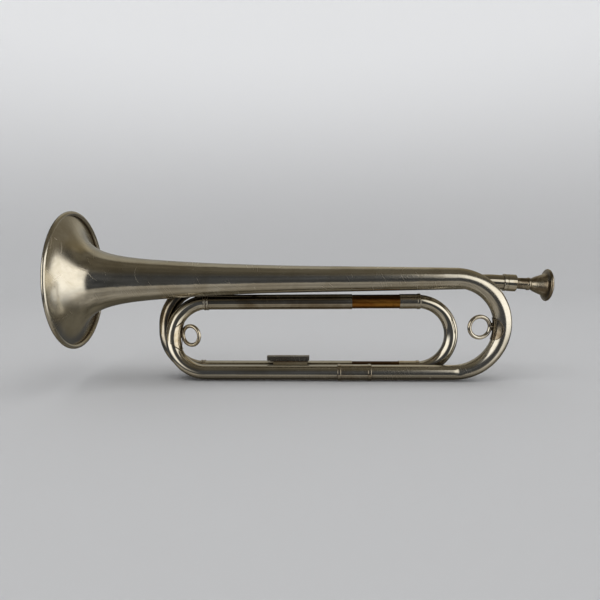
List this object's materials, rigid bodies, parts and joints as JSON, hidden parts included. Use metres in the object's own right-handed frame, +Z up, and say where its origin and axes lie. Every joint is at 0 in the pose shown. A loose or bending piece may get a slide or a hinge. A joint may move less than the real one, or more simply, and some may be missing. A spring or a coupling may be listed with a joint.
{
  "type": "bugle",
  "caption": "Single-coil signal bugle with a long conical bell, a pull-out tuning slide, cord rings and a removable cup mouthpiece.",
  "frame": {"origin": "centre of the bell's mouth, on the plane of its rim", "axes": "+X along the bell's axis towards the mouthpiece, +Z up from the coil to the bell, +Y from the bell's side to the leadpipe's side"},
  "size_m": [0.4425, 0.127, 0.1584],
  "materials": {
    "nickel_plate": "worn and tarnished nickel plate over brass",
    "bare_brass": "aged bare brass, polished by sliding",
    "rim_wire": "drawn wire",
    "mouthpiece_plate": "dark tarnished nickel plate over turned brass"
  },
  "bodies": {
    "horn": {"bell": "nickel_plate", "tail_bow": "nickel_plate", "tail_bow_ferrule": "nickel_plate", "front_left_bow": "nickel_plate", "front_bow_ferrule": "nickel_plate", "upper_outer_slide": "nickel_plate", "lower_outer_slide": "nickel_plate", "rear_left_bow": "nickel_plate", "rear_bow_lower_ferrule": "nickel_plate", "rear_bow_upper_ferrule": "nickel_plate", "leadpipe": "nickel_plate", "mouthpiece_receiver": "nickel_plate", "left_ring_saddle": "nickel_plate", "left_cord_ring": "nickel_plate", "right_ring_saddle": "nickel_plate", "right_cord_ring": "nickel_plate", "brace_saddle": "nickel_plate", "brace_rail": "nickel_plate", "bell_brace_left": "nickel_plate", "bell_brace_right": "nickel_plate", "slide_brace": "nickel_plate", "bell_rim_wire": "rim_wire"},
    "tuning_slide": {"tuning_crook": "nickel_plate", "upper_inner_slide": "bare_brass", "lower_inner_slide": "bare_brass", "upper_crook_ferrule": "nickel_plate", "lower_crook_ferrule": "nickel_plate"},
    "mouthpiece": {"mouthpiece": "mouthpiece_plate"}
  },
  "joints": [
    {"name": "tuning_pull", "type": "slide", "parent": "horn", "child": "tuning_slide", "axis": [1, 0, 0], "range_m": [-0.044, 0.055]},
    {"name": "mouthpiece_pull", "type": "slide", "parent": "horn", "child": "mouthpiece", "axis": [0.9976, 0.0016, -0.0698], "range_m": [0, 0.03]}
  ]
}
